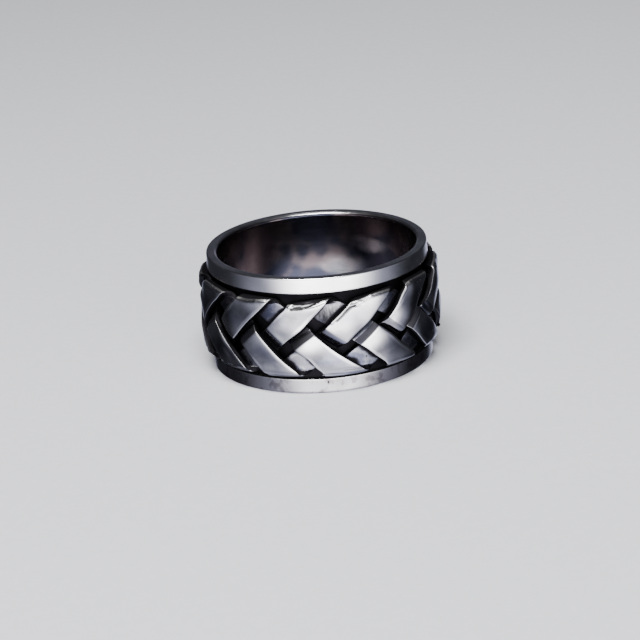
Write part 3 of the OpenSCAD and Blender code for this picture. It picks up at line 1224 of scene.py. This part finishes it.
class RING_OT_stage(bpy.types.Operator):
    """Set the floor, the lights and the camera."""

    bl_idname = "ring.stage"
    bl_label = "Stage"
    bl_options = {"REGISTER", "UNDO"}

    def execute(self, context):
        stage = context.scene.ring_stage
        lay_floor(stage)
        light_world(context.scene, stage)
        hang_lamp("key", *KEY_LAMP)
        place_camera(context.scene, stage)
        return {"FINISHED"}


# The floor's width in metres, the noise of its grain, the grain's fade and shade, and its dull surface
FLOOR_SIZE = 3
FLOOR_GRAIN = (900.0, 2.0, 0.55)
FLOOR_SHADED = (0.3, 0.7)
FLOOR_SHADE = 0.97
FLOOR_MATT = {"Roughness": 0.8, "Specular IOR Level": 0.2}


def lay_floor(stage):
    """Lays the pale floor. The ring doesn't mirror it: the floor glow of the studio stands in for it."""
    deselect()
    bpy.ops.mesh.primitive_plane_add(size=FLOOR_SIZE, location=(0, 0, 0))
    floor = bpy.context.object
    floor.name = "floor"
    build = Finish("floor_paper")
    shaded = tuple(c * FLOOR_SHADE for c in stage.floor_colour)
    grain = build.noise(build.place(), *FLOOR_GRAIN).step(*FLOOR_SHADED)
    colour = build.mix(grain, tuple(stage.floor_colour), shaded)
    floor.data.materials.append(build.surface({"Base Color": colour, **FLOOR_MATT}))
    floor.visible_glossy = False


def light_world(scene, stage):
    """The studio round the ring: dim, with a broad soft glow in front and weaker ones behind and below."""
    world = bpy.data.worlds.new("studio")
    scene.world = world
    world.use_nodes = True
    build = NodeBuild(world.node_tree)
    x, y, z = build.parts(build.node("ShaderNodeTexCoord").outputs["Generated"])
    aside = (x - stage.glow_aside).math("ARCTAN2", y * -1).math("ABSOLUTE")
    core = aside.step(*CORE_WIDTH) ** CORE_FALL * (z.step(*CORE_TOP) * z.step(*CORE_BOTTOM)) * stage.glow
    halo = aside.step(*HALO_WIDTH) ** HALO_FALL * (z.step(*HALO_TOP) * z.step(*HALO_BOTTOM)) * stage.halo
    back = aside.step(*BACK_WIDTH) * z.step(*BACK_TOP) * stage.back_glow
    below = z.step(*FLOOR_BOTTOM) * stage.floor_glow
    lights = []
    for colour, strength in ((CORE_COLOUR, core), (HALO_COLOUR, halo + back + below + stage.dimness)):
        lights.append(build.node("ShaderNodeBackground", inputs={"Color": colour, "Strength": strength}))
    both = build.node("ShaderNodeAddShader", inputs={0: lights[0].outputs[0], 1: lights[1].outputs[0]})
    wall = build.node("ShaderNodeBackground", inputs={"Color": WALL_COLOUR, "Strength": 1.0})
    seen = build.node("ShaderNodeLightPath").outputs["Is Camera Ray"]
    shown = build.node("ShaderNodeMixShader", inputs={0: seen, 1: both.outputs[0], 2: wall.outputs[0]})
    build.node("ShaderNodeOutputWorld", inputs={"Surface": shown.outputs[0]})


# Fades of the front glow's bright core and of its bluish halo: in radians round the ring from the glow's
# middle, and above and below the horizon as the height of a direction of length 1. The core and the halo
# fall off to the sides by these powers. The glows behind and below fade in the same way.
CORE_WIDTH = (0.30, 1.12, 1.0, 0.0)
CORE_FALL = 1.5
CORE_TOP = (0.05, 0.55, 1.0, 0.04)
CORE_BOTTOM = (-0.62, -0.20, 0.15, 1.0)
HALO_WIDTH = (0.5, 1.9, 1.0, 0.0)
HALO_FALL = 1.2
HALO_TOP = (0.0, 0.65, 1.0, 0.22)
HALO_BOTTOM = (-0.9, -0.6, 0.55, 1.0)
BACK_WIDTH = (2.6, 3.1)
BACK_TOP = (-0.35, 0.22, 1.0, 0.03)
FLOOR_BOTTOM = (-0.95, -0.65, 1.0, 0.0)
CORE_COLOUR = (0.97, 0.96, 0.99, 1.0)
HALO_COLOUR = (0.73, 0.75, 1.0, 1.0)
# Pale wall that a low view sees behind the floor
WALL_COLOUR = (0.42, 0.425, 0.44, 1.0)
# The soft lamp over the ring: where it hangs and what it looks at, its width and height, in metres, and watts
KEY_LAMP = ((-0.03, -0.13, 0.30), (0, 0, 0.005), 0.20, 0.12, 2.2)
# How far above its middle the picture has the ring, as a share of its width, and the camera's nearest sight
PICTURE_RISE = 21.8 / 640
NEAR_SIGHT = 0.01


def hang_lamp(name, where, target, width, height, power):
    """A soft rectangular lamp over the ring."""
    light = bpy.data.lights.new(name, "AREA")
    light.shape = "RECTANGLE"
    light.size = width
    light.size_y = height
    light.energy = power
    lamp = bpy.data.objects.new(name, light)
    bpy.context.scene.collection.objects.link(lamp)
    lamp.location = where
    lamp.rotation_euler = (Vector(target) - Vector(where)).to_track_quat("-Z", "Y").to_euler()


def place_camera(scene, stage):
    """Sets the camera at the photograph's angle to the ring, above the floor that it lies on.

    The photograph has the ring's open mouth at the bottom of the picture. Here it is at the top, so the
    picture is the photograph's turned by half a turn.
    """
    middle = Vector((0, 0, BAND_W / 2))
    away = Vector((0, -math.cos(stage.height_angle), math.sin(stage.height_angle)))
    lens = bpy.data.cameras.new("camera")
    lens.lens = stage.lens
    lens.shift_y = -PICTURE_RISE
    lens.clip_start = NEAR_SIGHT
    camera = bpy.data.objects.new("camera", lens)
    scene.collection.objects.link(camera)
    camera.location = middle + away * stage.distance
    aim = (-away).to_track_quat("-Z", "Y").to_matrix()
    camera.rotation_euler = (aim @ Matrix.Rotation(stage.roll, 3, "Z")).to_euler()
    scene.camera = camera


class RING_PT_panel(bpy.types.Panel):
    """The ring's sizes, and the steps that build it."""

    bl_label = "Braided band ring"
    bl_idname = "RING_PT_panel"
    bl_space_type = "VIEW_3D"
    bl_region_type = "UI"
    bl_category = "Ring"

    def draw(self, context):
        for group, step in PANEL_ROWS:
            box = self.layout.box()
            settings = getattr(context.scene, group)
            for name in settings.bl_rna.properties.keys():
                if name not in ("rna_type", "name"):
                    box.prop(settings, name)
            if step:
                box.operator(step)


PANEL_ROWS = (
    ("ring_band", "ring.band"),
    ("ring_plait", "ring.plait"),
    ("ring_silver", None),
    ("ring_stage", "ring.stage"),
)
GROUPS = {
    "ring_band": BandSizes,
    "ring_plait": PlaitSizes,
    "ring_silver": SilverFinish,
    "ring_stage": StageSizes,
}
CLASSES = (*GROUPS.values(), RING_OT_band, RING_OT_plait, RING_OT_stage, RING_PT_panel)


def register():
    for each in CLASSES:
        bpy.utils.register_class(each)
    for name, group in GROUPS.items():
        setattr(bpy.types.Scene, name, PointerProperty(type=group))


def unregister():
    for name in GROUPS:
        delattr(bpy.types.Scene, name)
    for each in reversed(CLASSES):
        bpy.utils.unregister_class(each)


def main():
    register()
    bpy.ops.ring.band()
    bpy.ops.ring.plait()
    bpy.ops.ring.stage()
    bpy.context.view_layer.update()


if __name__ == "__main__":
    main()
